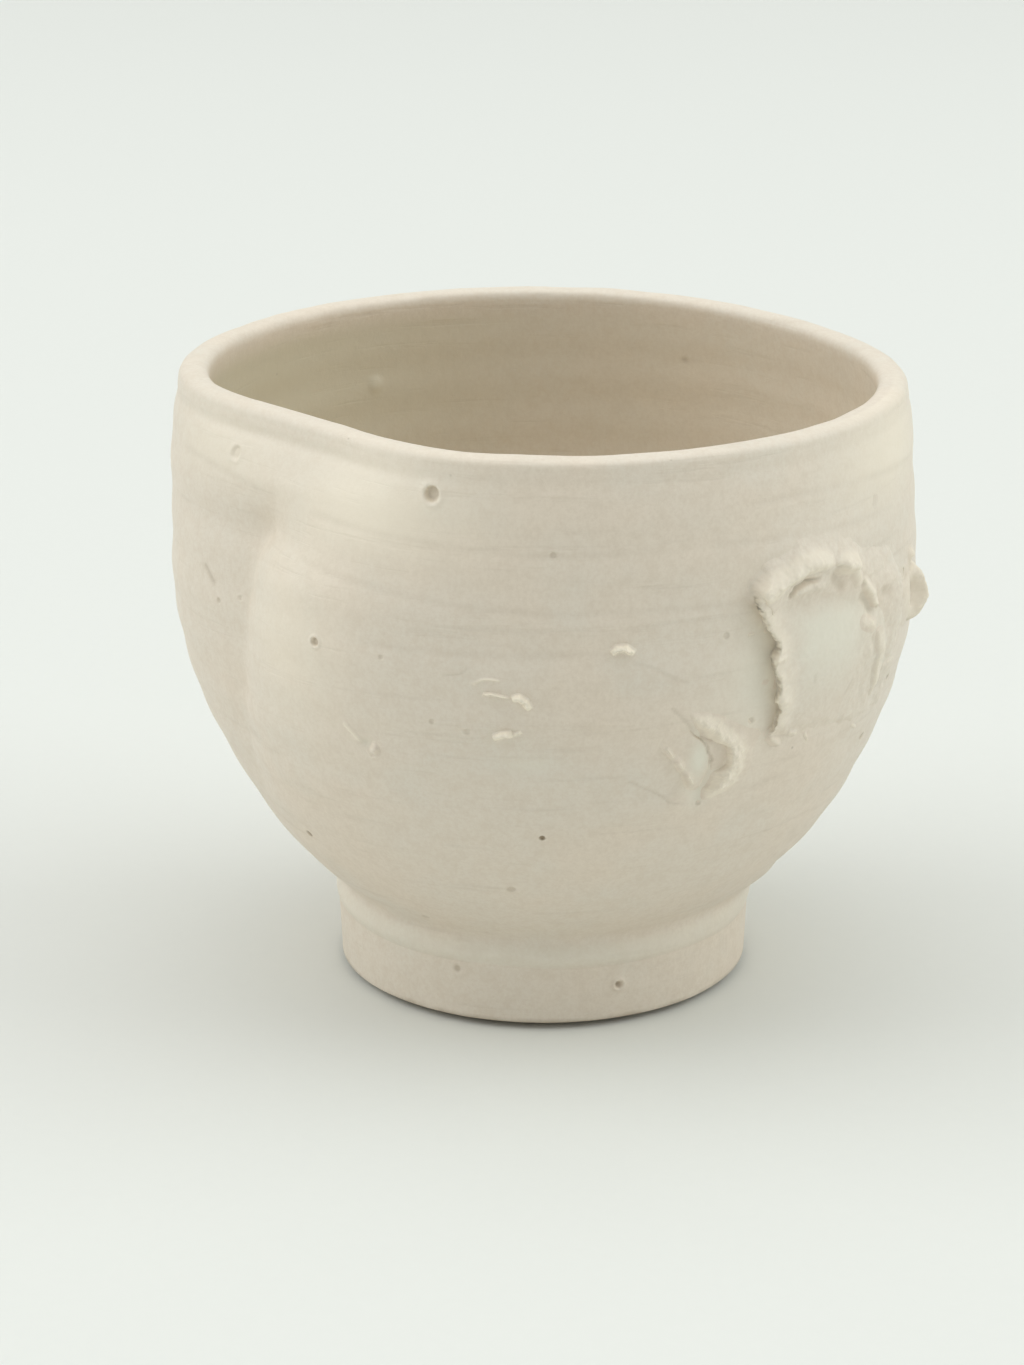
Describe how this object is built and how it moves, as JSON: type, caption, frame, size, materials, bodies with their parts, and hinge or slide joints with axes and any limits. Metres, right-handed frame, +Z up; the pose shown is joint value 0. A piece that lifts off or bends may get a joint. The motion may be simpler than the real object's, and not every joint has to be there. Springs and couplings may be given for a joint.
{
  "type": "stoneware cup",
  "caption": "Small handle-less stoneware cup: rounded thrown bowl with one side pressed in, a short foot ring, and torn scraps of clay stuck to the wall under a matt off-white glaze.",
  "frame": {"origin": "on the table under the middle of the foot ring", "axes": "+Z up along the cup's own axis; -Y is the front, with the pressed side at its left (-X) and the torn slab at its right (+X)"},
  "size_m": [0.0804, 0.0809, 0.0669],
  "materials": {
    "bowl_glaze": "matte",
    "foot_glaze": "matte",
    "slab_glaze": "satin",
    "scrap_glaze": "matte"
  },
  "bodies": {
    "root": {"thrown_bowl": "bowl_glaze", "foot_ring": "foot_glaze", "torn_slab": "slab_glaze", "slab_top_roll": "scrap_glaze", "slab_top_lump": "scrap_glaze", "slab_side_ridge": "scrap_glaze", "slab_side_scrap": "slab_glaze", "slab_edge_lump": "scrap_glaze", "curled_flake": "slab_glaze", "flake_rim": "scrap_glaze", "upper_sliver": "scrap_glaze", "middle_tail": "scrap_glaze", "middle_crumb": "scrap_glaze", "lower_sliver": "scrap_glaze", "small_blister": "bowl_glaze"}
  },
  "joints": []
}
